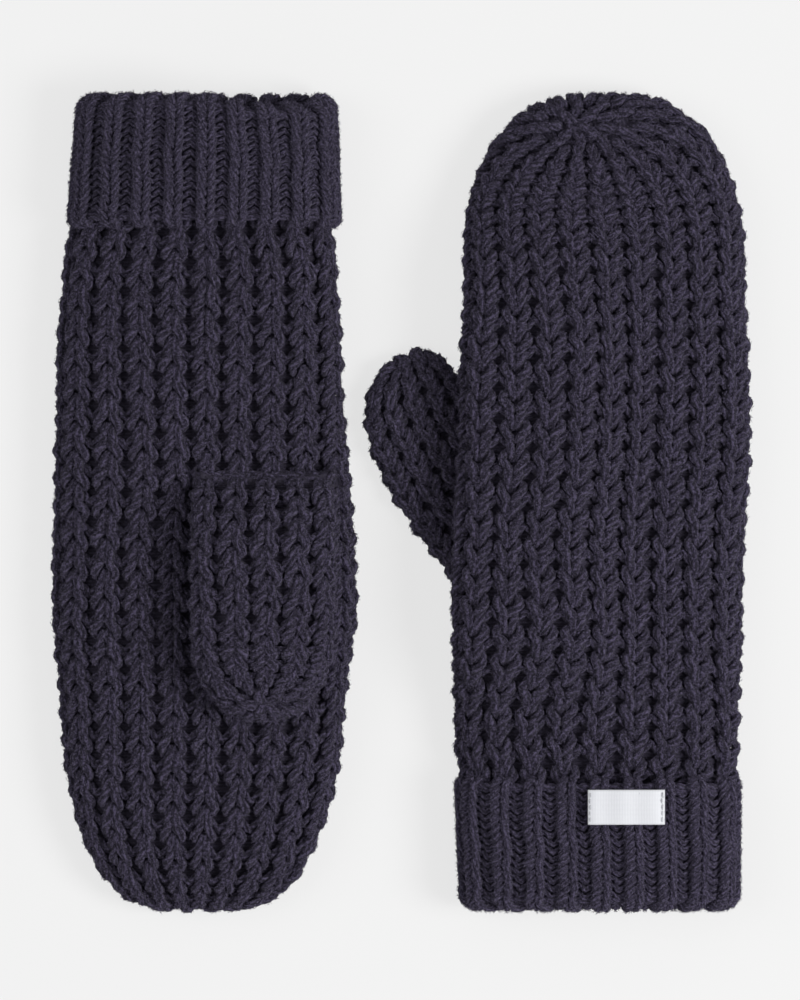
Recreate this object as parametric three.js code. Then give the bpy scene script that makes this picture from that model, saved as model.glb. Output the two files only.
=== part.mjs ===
// A pair of chunky knitted mittens with turned-up ribbed cuffs, lying side by side on a flat surface.
// Millimetres. X runs across the pair, Y along the fingers, Z up from the surface.
// The right mitten lies back up with its fingers towards +Y. The left one lies palm up, fingers towards -Y.
import * as THREE from "three";
import { ParametricGeometry } from "three/addons/geometries/ParametricGeometry.js";

// ---- Driving dimensions ----
const LENGTH = 291; // one mitten, cuff fold to fingertips
const RIGHT_CENTRE = 69.6; // x of the right mitten's centreline
const LEFT_CENTRE = -70.7; // x of the left mitten's centreline

const WALL = 5; // knitted fabric of the hand
const THUMB_WALL = 4;
const SIDE_HEIGHT = 9; // the side folds of the hand above the surface
const CROWN = 15; // how far the hand rises from its side folds
const TOP_POWER = 2.5; // roundness of the upper side's section
const BASE_POWER = 4; // the lower side is flatter
const BASE_FLATTENING = 1.2; // how much of the lower side is pressed flat by the surface
const GAP = 0.3; // between touching pieces

const CUFF_DEPTH = 47; // the turned-up layer, fold to free edge
const CUFF_HALF_WIDTH = { right: 51, left: 48.8 };
const CUFF_SIDE_HEIGHT = 12;
const CUFF_CROWN = 17;
const TURN_UP_WALL = 5;
const INNER_RIB_WALL = 4;
const SLIDING_GAP = 0.5; // between the turned-up layer and the rib inside it
const FOLD_LENGTH = 4.2; // the rolled edge, along the mitten

const THUMB_LENGTH = 88;
const THUMB_HALF_WIDTH = 25.4;
const THUMB_HEIGHT = 19; // the left thumb, lying on the palm
const THUMB_DOME = 34; // length of the rounded tip
const RIGHT_THUMB_HEIGHT = 14; // flattened between the surface and the hand
const THUMB_LIFT = 15; // how far it lifts the hand that lies on it

// Distances along the mitten from the cuff fold, with the two side edges measured from its centreline.
const RIGHT_EDGES = [
  [46, -48.6, 49.2],
  [62, -50.4, 49.8],
  [111, -51.5, 51],
  [175, -49, 53.8],
  [232, -47.3, 51.8],
  [291, -45.5, 49.5],
];
const LEFT_EDGES = [
  [46, -47.5, 44.6],
  [62, -49.5, 47],
  [94, -52, 48.8],
  [180, -53.4, 53.8],
  [222, -51.8, 49.6],
  [291, -53.2, 47],
];
const HAND_DOME = { right: 59, left: 75 }; // length of the rounded fingertips
const LEFT_THUMB_ROOT = { across: 21.2, along: 135.3 };
const RIGHT_THUMB_ROOT = { across: -31, along: 124, lean: 28 };

// ---- Curves shared by the skins ----

const smooth = (value, low, high) => THREE.MathUtils.smoothstep(value, low, high);

// The two side edges at a distance along the mitten, eased between the listed stations.
function edgesAt(stations, along) {
  const last = stations.length - 1;
  const next = THREE.MathUtils.clamp(
    stations.findIndex((station) => station[0] > along),
    1,
    last,
  );
  const [from, to] = [stations[next - 1], stations[along >= stations[last][0] ? last : next]];
  const share = smooth(along, from[0], to[0]);
  return [1, 2].map((side) => THREE.MathUtils.lerp(from[side], to[side], share));
}

// 1 along the straight part, falling to 0 at the end of a rounded tip.
function dome(along, start, end, power = 2.4, fullness = 2.6) {
  const reach = THREE.MathUtils.clamp((along - start) / (end - start), 0, 1);
  return (1 - reach ** power) ** (1 / fullness);
}

// A point on a flattened ring: across from -1 to 1, and height from 0 to 1 above or below the side folds.
function ring(angle, power) {
  const bend = (value) => Math.sign(value) * Math.abs(value) ** (2 / power);
  return { across: bend(Math.cos(angle)), height: Math.abs(bend(Math.sin(angle))) };
}

// ---- Skins: a point at an angle round the piece, a distance along it and a depth under its face ----

// How far the right mitten's thumb lifts the hand that lies on it.
function liftOverThumb(across, along) {
  const over = 1 - smooth(across, -11, 20);
  const alongThumb = smooth(along, 62, 103) * (1 - smooth(along, 214, 262));
  return THUMB_LIFT * over * alongThumb;
}

function handPoint(side, angle, along, depth) {
  const [low, high] = edgesAt(side === "right" ? RIGHT_EDGES : LEFT_EDGES, along);
  const end = LENGTH - depth;
  const domeStart = LENGTH - HAND_DOME[side];
  const tip = dome(along, domeStart, end);
  const flat = dome(along, domeStart, end, 3, 2);
  const upper = Math.sin(angle) >= 0;
  const { across, height } = ring(angle, upper ? TOP_POWER : BASE_POWER);
  const x = (low + high) / 2 + ((high - low) / 2 - depth) * tip * across;
  const rise = upper
    ? (CROWN - depth) * flat * height
    : -(SIDE_HEIGHT + BASE_FLATTENING - depth) * flat * height;
  const base = Math.max(SIDE_HEIGHT + rise, depth);
  const lift = side === "right" ? liftOverThumb(x, along) : 0;
  return new THREE.Vector3(x, along, base + lift * (upper ? 1 - 0.4 * height : 1));
}

function cuffPoint(side, angle, along, depth) {
  const upper = Math.sin(angle) >= 0;
  const { across, height } = ring(angle, upper ? TOP_POWER : BASE_POWER);
  const x = (CUFF_HALF_WIDTH[side] - depth) * across;
  const rise = upper
    ? (CUFF_CROWN - depth) * height
    : -(CUFF_SIDE_HEIGHT + BASE_FLATTENING - depth) * height;
  return new THREE.Vector3(x, along, Math.max(CUFF_SIDE_HEIGHT + rise, depth));
}

// The height of the left palm, on which its thumb lies.
function leftPalmTop(across, along) {
  const [low, high] = edgesAt(LEFT_EDGES, along);
  const share = Math.abs((across - (low + high) / 2) / ((high - low) / 2));
  return SIDE_HEIGHT + CROWN * (1 - Math.min(share, 1) ** TOP_POWER) ** (1 / TOP_POWER);
}

const LEFT_THUMB_MIDDLE = SIDE_HEIGHT + CROWN + 0.8 + THUMB_HEIGHT / 2;

// The left thumb lies along the palm. Its root is round about the line it lifts on.
function leftThumbPoint(angle, along, depth) {
  const half = THUMB_HEIGHT / 2;
  const { across, height } = ring(angle, Math.sin(angle) >= 0 ? TOP_POWER : BASE_POWER);
  const end = THUMB_LENGTH - depth;
  const tip = dome(along, THUMB_LENGTH - THUMB_DOME, end);
  const flat = dome(along, THUMB_LENGTH - THUMB_DOME, end, 3, 2);
  const root = along < half ? Math.sqrt(1 - ((half - along) / half) ** 2) : 1;
  const x = LEFT_THUMB_ROOT.across + (THUMB_HALF_WIDTH - depth) * tip * across;
  const s = LEFT_THUMB_ROOT.along + along;
  const sag = 0.5 * (leftPalmTop(x, s) - SIDE_HEIGHT - CROWN);
  const rise = Math.sign(Math.sin(angle)) * (half * root - depth) * flat * height;
  return new THREE.Vector3(x, s, LEFT_THUMB_MIDDLE + sag + rise);
}

// The right thumb lies flat on the surface and leans out from under the hand.
function rightThumbPoint(angle, along, depth) {
  const section = ring(angle, Math.sin(angle) >= 0 ? TOP_POWER : BASE_POWER);
  const end = THUMB_LENGTH - depth;
  const tip = dome(along, THUMB_LENGTH - THUMB_DOME, end);
  const flat = dome(along, THUMB_LENGTH - THUMB_DOME, end, 3, 2);
  const half = THREE.MathUtils.lerp(19, THUMB_HALF_WIDTH + 1, smooth(along, 0, 40));
  const r = (half - depth) * tip * section.across;
  const side = 0.42 * RIGHT_THUMB_HEIGHT;
  const rise =
    Math.sin(angle) >= 0
      ? (RIGHT_THUMB_HEIGHT - side - depth) * flat * section.height
      : -(side + BASE_FLATTENING - depth) * flat * section.height;
  const lean = THREE.MathUtils.degToRad(RIGHT_THUMB_ROOT.lean);
  return new THREE.Vector3(
    RIGHT_THUMB_ROOT.across + r * Math.cos(lean) - along * Math.sin(lean),
    RIGHT_THUMB_ROOT.along + r * Math.sin(lean) + along * Math.cos(lean),
    Math.max(side + rise, depth),
  );
}

// ---- Solids ----

// One side of a tube's skin, with an outer face, an inner face and flat edges, as one closed surface.
// The end is open and flat, or closed where the skin itself runs to a point.
function panel(skin, { lower, start, end, depth = 0, wall, closed = false, around = 14, rows = 12 }) {
  const slices = 2 * around + 2;
  const stacks = rows + (closed ? 1 : 2);
  const spread = lower ? 0.003 : 0.012; // radians kept free at each side fold, about half a millimetre
  const turn = lower ? 2 * Math.PI : Math.PI;
  const [from, to] = [turn - spread, turn - Math.PI + spread];
  return new ParametricGeometry(
    (u, v, target) => {
      const step = Math.round(u * slices) % slices;
      const outer = step <= around;
      const share = (outer ? step : slices - 1 - step) / around;
      const row = THREE.MathUtils.clamp(Math.round(v * stacks) - 1, 0, rows) / rows;
      const middle = Math.round(v * stacks) === 0 || (!closed && Math.round(v * stacks) === stacks);
      const eased = closed ? Math.sin((row * Math.PI) / 2) : row;
      const layer = depth + (middle ? wall / 2 : outer ? 0 : wall);
      const last = closed ? end - (outer ? 0 : wall) : end;
      const first = start;
      target.copy(skin(THREE.MathUtils.lerp(from, to, share), first + (last - first) * eased, layer));
    },
    slices,
    stacks,
  );
}

// The rolled edge: a closed section of depths and distances, carried once round the cuff.
function foldRing(side) {
  const inside = TURN_UP_WALL + SLIDING_GAP + INNER_RIB_WALL;
  const section = [
    [0, FOLD_LENGTH],
    [0, 2.4],
    [1.4, 0.6],
    [3.4, 0],
    [inside - 3.4, 0],
    [inside - 1.4, 0.6],
    [inside, 2.4],
    [inside, FOLD_LENGTH],
  ];
  return new ParametricGeometry(
    (u, v, target) => {
      const [depth, along] = section[Math.round(v * section.length) % section.length];
      target.copy(cuffPoint(side, u * 2 * Math.PI, along, depth));
    },
    32,
    section.length,
  );
}

// A strand of yarn laid along a line of points.
function strand(points, radius) {
  const outline = new THREE.Shape().absarc(0, 0, radius, 0, 2 * Math.PI);
  return new THREE.ExtrudeGeometry(outline, {
    steps: 10,
    curveSegments: 4,
    bevelEnabled: false,
    extrudePath: new THREE.CatmullRomCurve3(points),
  });
}

// The drawn-in end of the closing yarn.
function knot(point, width, height) {
  return new THREE.SphereGeometry(width / 2, 10, 6)
    .scale(1, 1, height / width)
    .translate(point.x, point.y, point.z);
}

// ---- Pieces ----

const yarnMaterial = () =>
  new THREE.MeshStandardMaterial({ color: 0x2f2c38, roughness: 0.95, metalness: 0 });
const labelMaterial = () =>
  new THREE.MeshStandardMaterial({ color: 0xe4e5e9, roughness: 0.7, metalness: 0 });
const tackMaterial = () =>
  new THREE.MeshStandardMaterial({ color: 0xd8d9de, roughness: 0.8, metalness: 0 });

function piece(name, geometry, material = yarnMaterial()) {
  const mesh = new THREE.Mesh(geometry, material);
  mesh.name = name;
  return mesh;
}

// Palm and back name the sides of the hand; which of them is underneath depends on how the mitten lies.
function handPanels(side) {
  const skin = (angle, along, depth) => handPoint(side, angle, along, depth);
  const rows = side === "right" ? 22 : 14; // the right hand bends over its thumb
  const shape = { start: CUFF_DEPTH + GAP, end: LENGTH, wall: WALL, closed: true, rows };
  const upperName = side === "left" ? "palm" : "back";
  const lowerName = side === "left" ? "back" : "palm";
  return [
    piece(`${side}_hand_${upperName}`, panel(skin, { ...shape, lower: false })),
    piece(`${side}_hand_${lowerName}`, panel(skin, { ...shape, lower: true })),
  ];
}

function cuffPieces(side) {
  const skin = (angle, along, depth) => cuffPoint(side, angle, along, depth);
  const turnUp = { start: FOLD_LENGTH + GAP, end: CUFF_DEPTH, wall: TURN_UP_WALL, rows: 2 };
  const innerRib = {
    start: FOLD_LENGTH + GAP,
    end: CUFF_DEPTH,
    depth: TURN_UP_WALL + SLIDING_GAP,
    wall: INNER_RIB_WALL,
    rows: 2,
  };
  const upperName = side === "left" ? "palm" : "back";
  const lowerName = side === "left" ? "back" : "palm";
  return [
    piece(`${side}_cuff_${upperName}`, panel(skin, { ...turnUp, lower: false })),
    piece(`${side}_cuff_${lowerName}`, panel(skin, { ...turnUp, lower: true })),
    piece(`${side}_inner_rib_${upperName}`, panel(skin, { ...innerRib, lower: false })),
    piece(`${side}_inner_rib_${lowerName}`, panel(skin, { ...innerRib, lower: true })),
    piece(`${side}_cuff_fold`, foldRing(side)),
  ];
}

function thumbHalves(side) {
  const skin = side === "left" ? leftThumbPoint : rightThumbPoint;
  const shape = { start: 4, end: THUMB_LENGTH, wall: THUMB_WALL, closed: true, around: 10, rows: 9 };
  return [
    piece(`${side}_thumb_upper`, panel(skin, { ...shape, lower: false })),
    piece(`${side}_thumb_lower`, panel(skin, { ...shape, lower: true })),
  ];
}

function closingYarns(side) {
  const crownAngle = side === "right" ? 0.62 * Math.PI : 0.5 * Math.PI;
  const crown = handPoint(side, crownAngle, LENGTH - 9, 0);
  const thumbSkin = side === "left" ? leftThumbPoint : rightThumbPoint;
  const thumbTip = thumbSkin(Math.PI / 2, THUMB_LENGTH - 5, 0);
  crown.z += 2;
  thumbTip.z += 2.2;
  return [
    piece(`${side}_crown_yarn`, knot(crown, 6, 2)),
    piece(`${side}_thumb_tip_yarn`, knot(thumbTip, 5, 2)),
  ];
}

// The line where the thumb's stitches are picked up and sewn to the palm.
function leftThumbJoin() {
  const along = LEFT_THUMB_ROOT.along - 2;
  const points = [-24, -12, 0, 12, 22].map((offset) => {
    const across = LEFT_THUMB_ROOT.across + offset;
    return new THREE.Vector3(across, along, leftPalmTop(across, along) + 1.5);
  });
  return piece("left_thumb_join_yarn", strand(points, 1));
}

function rightThumbJoin() {
  const along = 103;
  const points = [-43, -37, -31, -25, -19].map(
    (across) => new THREE.Vector3(across, along, liftOverThumb(across, along) - 2.9),
  );
  return piece("right_thumb_join_yarn", strand(points, 1));
}

// A blank woven label lying along the top of the cuff, with a row of tacking stitches at each short end.
function label() {
  const [low, high] = [-3.9, 23.5];
  const [start, end] = [31, 43.4];
  const thickness = 0.8;
  const surface = (across) =>
    CUFF_SIDE_HEIGHT +
    CUFF_CROWN * (1 - Math.abs(across / CUFF_HALF_WIDTH.right) ** TOP_POWER) ** (1 / TOP_POWER);
  const cloth = new THREE.BoxGeometry(high - low, end - start, thickness, 8, 1, 1);
  const place = cloth.attributes.position;
  for (let i = 0; i < place.count; i++) {
    const across = place.getX(i) + (low + high) / 2;
    const along = place.getY(i) + (start + end) / 2;
    place.setXYZ(i, across, along, surface(across) + 0.5 + thickness / 2 + place.getZ(i));
  }
  const tack = (across) =>
    new THREE.BoxGeometry(0.6, end - start - 2, 0.5).translate(
      across,
      (start + end) / 2,
      surface(across) + 0.5 + thickness + 0.3 + 0.25,
    );
  return [
    piece("woven_label", cloth, labelMaterial()),
    piece("label_stitch_left", tack(low + 1.2), tackMaterial()),
    piece("label_stitch_right", tack(high - 1.2), tackMaterial()),
  ];
}

// The left mitten is laid end for end: its cuff is at +Y.
function mitten(side, centre, pieces) {
  const group = new THREE.Group();
  group.add(...handPanels(side), ...cuffPieces(side), ...thumbHalves(side), ...closingYarns(side));
  group.add(...pieces);
  const along = side === "right" ? 1 : -1;
  group.scale.y = along;
  group.position.set(centre, (-along * LENGTH) / 2, 0);
  return group;
}

const pair = new THREE.Group();
pair.add(mitten("right", RIGHT_CENTRE, [rightThumbJoin(), ...label()]));
pair.add(mitten("left", LEFT_CENTRE, [leftThumbJoin()]));

export default pair;
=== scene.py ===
"""A pair of chunky knitted mittens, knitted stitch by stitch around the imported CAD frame.

Every row of knitting is one strand of yarn. Its path is laid out flat, in wales (columns) and
rows, and then carried onto the skin of the hand, the thumb or the cuff.
Sizes of the mittens are in millimetres, and their meshes are made in metres. The floor, the lights
and the camera are placed in metres.
"""

import math

import bpy
import numpy as np
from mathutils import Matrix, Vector

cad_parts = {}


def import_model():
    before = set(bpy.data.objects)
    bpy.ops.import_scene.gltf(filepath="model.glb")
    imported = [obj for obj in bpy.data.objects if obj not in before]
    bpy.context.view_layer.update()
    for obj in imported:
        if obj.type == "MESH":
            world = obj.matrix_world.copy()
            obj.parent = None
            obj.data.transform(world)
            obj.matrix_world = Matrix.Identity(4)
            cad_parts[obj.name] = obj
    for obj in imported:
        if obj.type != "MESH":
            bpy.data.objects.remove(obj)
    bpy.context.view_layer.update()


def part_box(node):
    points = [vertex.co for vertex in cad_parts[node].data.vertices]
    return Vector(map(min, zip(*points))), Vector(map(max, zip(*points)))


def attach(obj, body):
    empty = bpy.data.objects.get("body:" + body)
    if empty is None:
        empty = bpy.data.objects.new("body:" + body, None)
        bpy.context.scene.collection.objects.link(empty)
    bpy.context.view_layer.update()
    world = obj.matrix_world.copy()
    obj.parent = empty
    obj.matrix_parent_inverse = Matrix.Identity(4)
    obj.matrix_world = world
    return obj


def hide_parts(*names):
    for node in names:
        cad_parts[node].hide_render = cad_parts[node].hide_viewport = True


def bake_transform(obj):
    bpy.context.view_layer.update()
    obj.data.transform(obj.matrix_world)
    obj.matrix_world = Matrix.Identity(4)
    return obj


MM = 0.001
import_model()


# ---------------------------------------------------------------- Sizes taken from the frame


def box_mm(node):
    """The lowest and highest corner of a CAD node, in millimetres."""
    low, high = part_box(node)
    return np.array(low) / MM, np.array(high) / MM


def mitten_place(side):
    """The mitten's centreline, the y of its cuff fold, and the direction of its fingers."""
    low, high = box_mm(f"{side}_cuff_fold")
    fingers = 1 if side == "right" else -1
    fold = low[1] if side == "right" else high[1]
    return (low[0] + high[0]) / 2, fold, fingers


SIDES = ("right", "left")
LENGTH = 291.0
CUFF_DEPTH = 47.0
CUFF_HALF_WIDTH = {side: np.ptp(box_mm(f"{side}_cuff_fold"), axis=0)[0] / 2 for side in SIDES}
CUFF_SIDE_HEIGHT = 12.0
CUFF_CROWN = 17.0
TURN_UP_DEPTH = 5.5  # the turned-up layer, with the gap that lets it slide
INNER_RIB_WALL = 4.0

SIDE_HEIGHT = 9.0  # the side folds of the hand above the surface it lies on
CROWN = 15.0  # how far the hand rises from its side folds
TOP_POWER = 2.5  # how square a tube's section is above its side folds
BASE_POWER = 4.0  # and below them
BASE_FLATTENING = 1.2

THUMB_LENGTH = 88.0
THUMB_HALF_WIDTH = 25.4
THUMB_HEIGHT = 19.0
THUMB_DOME = 34.0
RIGHT_THUMB_HEIGHT = 12.6
THUMB_LIFT = 16.2  # how far the right hand is raised where it lies over its own thumb

# Distance along the mitten from the cuff fold, with the two side edges measured from its centreline.
EDGES = {
    "right": np.array([[46, -48.6, 49.2], [62, -50.4, 49.8], [111, -51.5, 51.0], [175, -49, 53.8],
                       [232, -47.3, 51.8], [291, -45.5, 49.5]]),
    "left": np.array([[46, -47.5, 44.6], [62, -49.5, 47.0], [94, -52, 48.8], [180, -53.4, 53.8],
                      [222, -50.6, 49.6], [291, -51.0, 48.0]]),
}
HAND_DOME = {"right": 59.0, "left": 75.0}
TIP_SHAPE = {"right": (2.3, 2.8), "left": (1.8, 3.6)}  # power and fullness of the rounded tip
LEFT_THUMB_ROOT = (21.2, 135.3)
RIGHT_THUMB_ROOT = (-31.0, 124.0)
RIGHT_THUMB_LEAN = math.radians(26)

# ---------------------------------------------------------------- Sizes of the knitting

HAND_WALES = 19  # knit columns round the hand
HAND_ROW = 5.22  # height of one row of the hand
CUFF_WALES = 19
CUFF_ROW = 2.75
THUMB_WALES = 10
HAND_YARN = 1.66  # radius
RIB_YARN = 1.12
LINING_DEPTH = {"hand": 3.6, "thumb": 3.6, "cuff": 3.4}
HAND_HIDDEN = 41.0  # the hand's knitting begins here, inside the turned-up cuff
HAND_PHASE = {"right": 0.23, "left": 0.1}  # where the first wale starts, in wales
HAND_START = {"right": 5.6, "left": 1.0}  # where the first row starts
CUFF_PHASE = 0.2
NARROWEST_WALE = 6.0  # in a narrower one, a row is knitted with half as many wales
KEPT_WALES = 5  # a row with this many or fewer isn't halved again

# ---------------------------------------------------------------- Curves shared by the skins


def smooth(value, low, high):
    share = np.clip((value - low) / (high - low), 0, 1)
    return share * share * (3 - 2 * share)


def bend(value, power):
    """A cosine or sine bent towards a flatter, squarer ring."""
    return np.sign(value) * np.abs(value) ** (2 / power)


def edges_at(side, along):
    stations = EDGES[side]
    after = np.clip(np.searchsorted(stations[:, 0], along, side="right"), 1, len(stations) - 1)
    share = smooth(along, stations[after - 1, 0], stations[after, 0])
    return [stations[after - 1, k] * (1 - share) + stations[after, k] * share for k in (1, 2)]


def lift_over_thumb(across, along):
    over = 1 - smooth(across, -11, 20)
    return THUMB_LIFT * over * smooth(along, 62, 103) * (1 - smooth(along, 214, 262))


def rotated(first, second, angle):
    """The two parts of a direction after a turn in their plane."""
    cosine, sine = np.cos(angle), np.sin(angle)
    return first * cosine - second * sine, first * sine + second * cosine


def tilted_pole(turn, climb, towards_top, towards_side):
    """Turns a point on a dome so that the rings close on a point away from its tip.

    turn is the angle round the tube and climb the angle from the dome's base to its pole. The base of
    the dome stays where it is and the pole moves by the two given angles.
    """
    fade = smooth(climb, 0, math.pi / 2)
    across, along, up = np.cos(turn) * np.cos(climb), np.sin(climb), np.sin(turn) * np.cos(climb)
    along, up = rotated(along, up, towards_top * fade)
    across, along = rotated(across, along, towards_side * fade)
    return across, along, up


def dome_factors(along, power, fullness):
    """Width, height and reach of a rounded tip at a height on the unit sphere."""
    reach = np.clip(along, 0, 1) ** (2 / power)
    width = np.clip(1 - reach**power, 0, 1) ** (1 / fullness)
    height = np.clip(1 - reach**3, 0, 1) ** 0.5
    return width, height, reach


def unit(vectors):
    return vectors / np.maximum(np.linalg.norm(vectors, axis=-1, keepdims=True), 1e-9)


def even_ring(place, columns):
    """Points spread evenly over a ring's upper half, and evenly over its lower half."""
    halves = []
    for start in (0, math.pi):
        points = place(start + np.linspace(0, math.pi, 241))
        reach = np.concatenate([[0], np.cumsum(np.linalg.norm(np.diff(points, axis=0), axis=1))])
        wanted = np.linspace(0, reach[-1], columns // 2, endpoint=False)
        halves.append(np.stack([np.interp(wanted, reach, points[:, k]) for k in range(3)], axis=1))
    return np.concatenate(halves)


def ring_section(across, up, half, crown, side_height, depth, width=1.0, height=1.0):
    """A flattened ring: offset from the middle, height above the surface that the mitten lies on, and
    how near each point is to the middle of the upper face, from 0 to 1.
    """
    angle = np.arctan2(up, across)
    upper = up >= 0
    power = np.where(upper, TOP_POWER, BASE_POWER)
    offset = (half - depth) * width * bend(np.cos(angle), power)
    tall = np.where(upper, crown - depth, -(side_height + BASE_FLATTENING - depth))
    rise = tall * height * np.abs(bend(np.sin(angle), power))
    return offset, np.maximum(side_height + rise, depth), np.abs(bend(np.sin(angle), power)) * upper


# ---------------------------------------------------------------- Skins


class Skin:
    """A tube's surface: points by the fraction of a turn round it and the distance along it.

    rings is an array of rows of points, each row once round. A point can be asked for at any height
    over the surface.
    """

    def __init__(self, rings, outwards):
        steps = np.percentile(np.linalg.norm(np.diff(rings, axis=0), axis=2), 82, axis=1)
        reach = np.concatenate([[0], np.cumsum(steps)])
        self.length = reach[-1]
        rows = int(self.length) + 2
        wanted = np.linspace(0, self.length, rows)
        after = np.clip(np.searchsorted(reach, wanted, side="right"), 1, len(reach) - 1)
        share = ((wanted - reach[after - 1]) / (reach[after] - reach[after - 1]))[:, None, None]
        self.points = rings[after - 1] * (1 - share) + rings[after] * share
        self.step = self.length / (rows - 1)
        self.columns = rings.shape[1]
        across = np.roll(self.points, -1, axis=1) - np.roll(self.points, 1, axis=1)
        along = np.gradient(self.points, axis=0)
        normals = np.cross(across, along)
        size = np.linalg.norm(normals, axis=2, keepdims=True)
        closed = size[:, 0, 0] < 1e-6
        normals[closed] = normals[np.argmax(closed) - 1].mean(axis=0) if closed.any() else 0
        self.normals = outwards * unit(normals)
        self.girth = np.linalg.norm(across, axis=2).sum(axis=1) / 2

    def _sample(self, grid, turn, along):
        row = np.clip(along / self.step, 0, len(grid) - 1.001)
        column = np.mod(turn, 1.0) * self.columns
        r, c = row.astype(int), column.astype(int) % self.columns
        fr, fc = (row - r)[..., None], (column - np.floor(column))[..., None]
        after = (c + 1) % self.columns
        near = grid[r, c] * (1 - fc) + grid[r, after] * fc
        far = grid[r + 1, c] * (1 - fc) + grid[r + 1, after] * fc
        return near * (1 - fr) + far * fr

    def normal(self, turn, along):
        return self._sample(self.normals, turn, along)

    def place(self, turn, along, height):
        return self._sample(self.points, turn, along) + self.normal(turn, along) * height[..., None]

    def girth_at(self, along):
        return np.interp(along, np.arange(len(self.girth)) * self.step, self.girth)


RING_POINTS = 320
SKIN_DEPTH = 0.9  # the yarn's own thickness brings the knitting out to the CAD's face
POLE_TILT = {"right": (math.radians(36), math.radians(9)), "left": (math.radians(-12), math.radians(2))}


def world(side, across, along, height):
    centre, fold, fingers = mitten_place(side)
    return np.stack([centre + across, fold + fingers * along, height], axis=-1)


def hand_skin(side):
    """The hand from inside the cuff to the point where its stitches are drawn together."""
    dome_start = LENGTH - HAND_DOME[side]

    def ring(climb, along):
        def place(turn):
            across, forward, up = tilted_pole(turn, climb, *POLE_TILT[side])
            width, height, reach = dome_factors(forward, *TIP_SHAPE[side])
            s = along + (HAND_DOME[side] - SKIN_DEPTH) * reach
            low, high = edges_at(side, s)
            out = smooth(s, HAND_HIDDEN, HAND_HIDDEN + 8)  # 0 inside the cuff, 1 outside it
            half = (CUFF_HALF_WIDTH[side] - TURN_UP_DEPTH) * (1 - out) + (high - low) / 2 * out
            crown = (CUFF_CROWN - TURN_UP_DEPTH) * (1 - out) + CROWN * out
            side_height = CUFF_SIDE_HEIGHT * (1 - out) + SIDE_HEIGHT * out
            offset, z, top = ring_section(across, up, half, crown, side_height, SKIN_DEPTH, width, height)
            x = (low + high) / 2 * out + offset
            if side == "right":
                lift = lift_over_thumb(x, s)
                z = z + lift * np.where(up >= 0, 1 - 0.4 * top, 1)
            return world(side, x, s, z)

        return even_ring(place, RING_POINTS)

    straight = [ring(0.0, s) for s in np.arange(HAND_HIDDEN, dome_start, 2.0)]
    dome = [ring(climb, dome_start) for climb in np.linspace(0, math.pi / 2, 60)]
    return Skin(np.array(straight + dome), -1 if side == "right" else 1)


EDGE_ROLL = 2.3  # radius of the turned-up layer's free edge
CUFF_INSIDE_END = 7.0  # where the turned-up layer's knitting ends inside the mouth
CUFF_TAPER = {"right": (1.7, 0.3), "left": (3.4, 1.4)}  # drawn in at its two sides towards the fold
CUFF_CORNER = 1.8  # drawn in more at the fold's two corners
MOUTH_SAG = {"right": 0.0, "left": 3.6}  # how far the mouth's upper lip hangs back on its +x half


def cuff_profile():
    """Depth and distance along the cuff, from the free edge over the outside to the fold and inside."""
    outer = SKIN_DEPTH
    inner = TURN_UP_DEPTH + INNER_RIB_WALL - SKIN_DEPTH
    middle, radius = (outer + inner) / 2, (inner - outer) / 2
    edge = [(outer + EDGE_ROLL - EDGE_ROLL * math.sin(a), CUFF_DEPTH - EDGE_ROLL + EDGE_ROLL * math.cos(a))
            for a in np.linspace(-0.5, math.pi / 2, 10)]
    fold = [(middle - radius * math.cos(a), SKIN_DEPTH + radius - radius * math.sin(a))
            for a in np.linspace(0, math.pi, 16)]
    return edge + fold + [(inner, CUFF_INSIDE_END)]


def cuff_ring(side, depth, along):
    def place(turn):
        half = CUFF_HALF_WIDTH[side]
        offset, z, top = ring_section(np.cos(turn), np.sin(turn), half, CUFF_CROWN, CUFF_SIDE_HEIGHT, depth)
        near_fold = 1 - smooth(along, 0, 32)
        corner = CUFF_CORNER * (1 - smooth(along, 0, 7)) ** 2
        low, high = (taper * near_fold + corner for taper in CUFF_TAPER[side])
        share = offset / half
        offset = offset + np.where(share < 0, low, -high) * np.abs(share) ** 1.5
        sag = MOUTH_SAG[side] * smooth(offset, 0, 18) * smooth(top, 0.1, 0.6) * (1 - smooth(along, 0, 26))
        return world(side, offset, along + sag, z)

    return even_ring(place, RING_POINTS)


def cuff_skin(side):
    rings = [cuff_ring(side, depth, along) for depth, along in cuff_profile()]
    return Skin(np.array(rings), 1 if side == "right" else -1)


def inner_rib_skin(side, inside):
    """The rib under the turned-up layer: its outer face, or the face that a hand touches."""
    depth = TURN_UP_DEPTH + (INNER_RIB_WALL - 0.2 if inside else 0.9)
    rings = [cuff_ring(side, depth, along) for along in np.linspace(5.0, CUFF_DEPTH + 1, 20)]
    facing = -1 if side == "right" else 1
    return Skin(np.array(rings), -facing if inside else facing)


def left_palm_top(across, along):
    low, high = edges_at("left", along)
    share = np.clip(np.abs((across - (low + high) / 2) / ((high - low) / 2)), 0, 1)
    return SIDE_HEIGHT + CROWN * (1 - share**TOP_POWER) ** (1 / TOP_POWER)


THUMB_REACH = {"right": 83.0, "left": THUMB_LENGTH}
THUMB_TIP = {"right": (2.4, 2.6), "left": (2.2, 2.1)}  # power and fullness of the rounded tip
THUMB_TILT = {"right": math.radians(10), "left": math.radians(34)}
THUMB_START = {"right": 2.0, "left": 1.0}  # where the knitting begins, from the root
RIGHT_THUMB_HALF_WIDTHS = (21.5, 27.4)  # at the root, and 40 mm along


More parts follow.
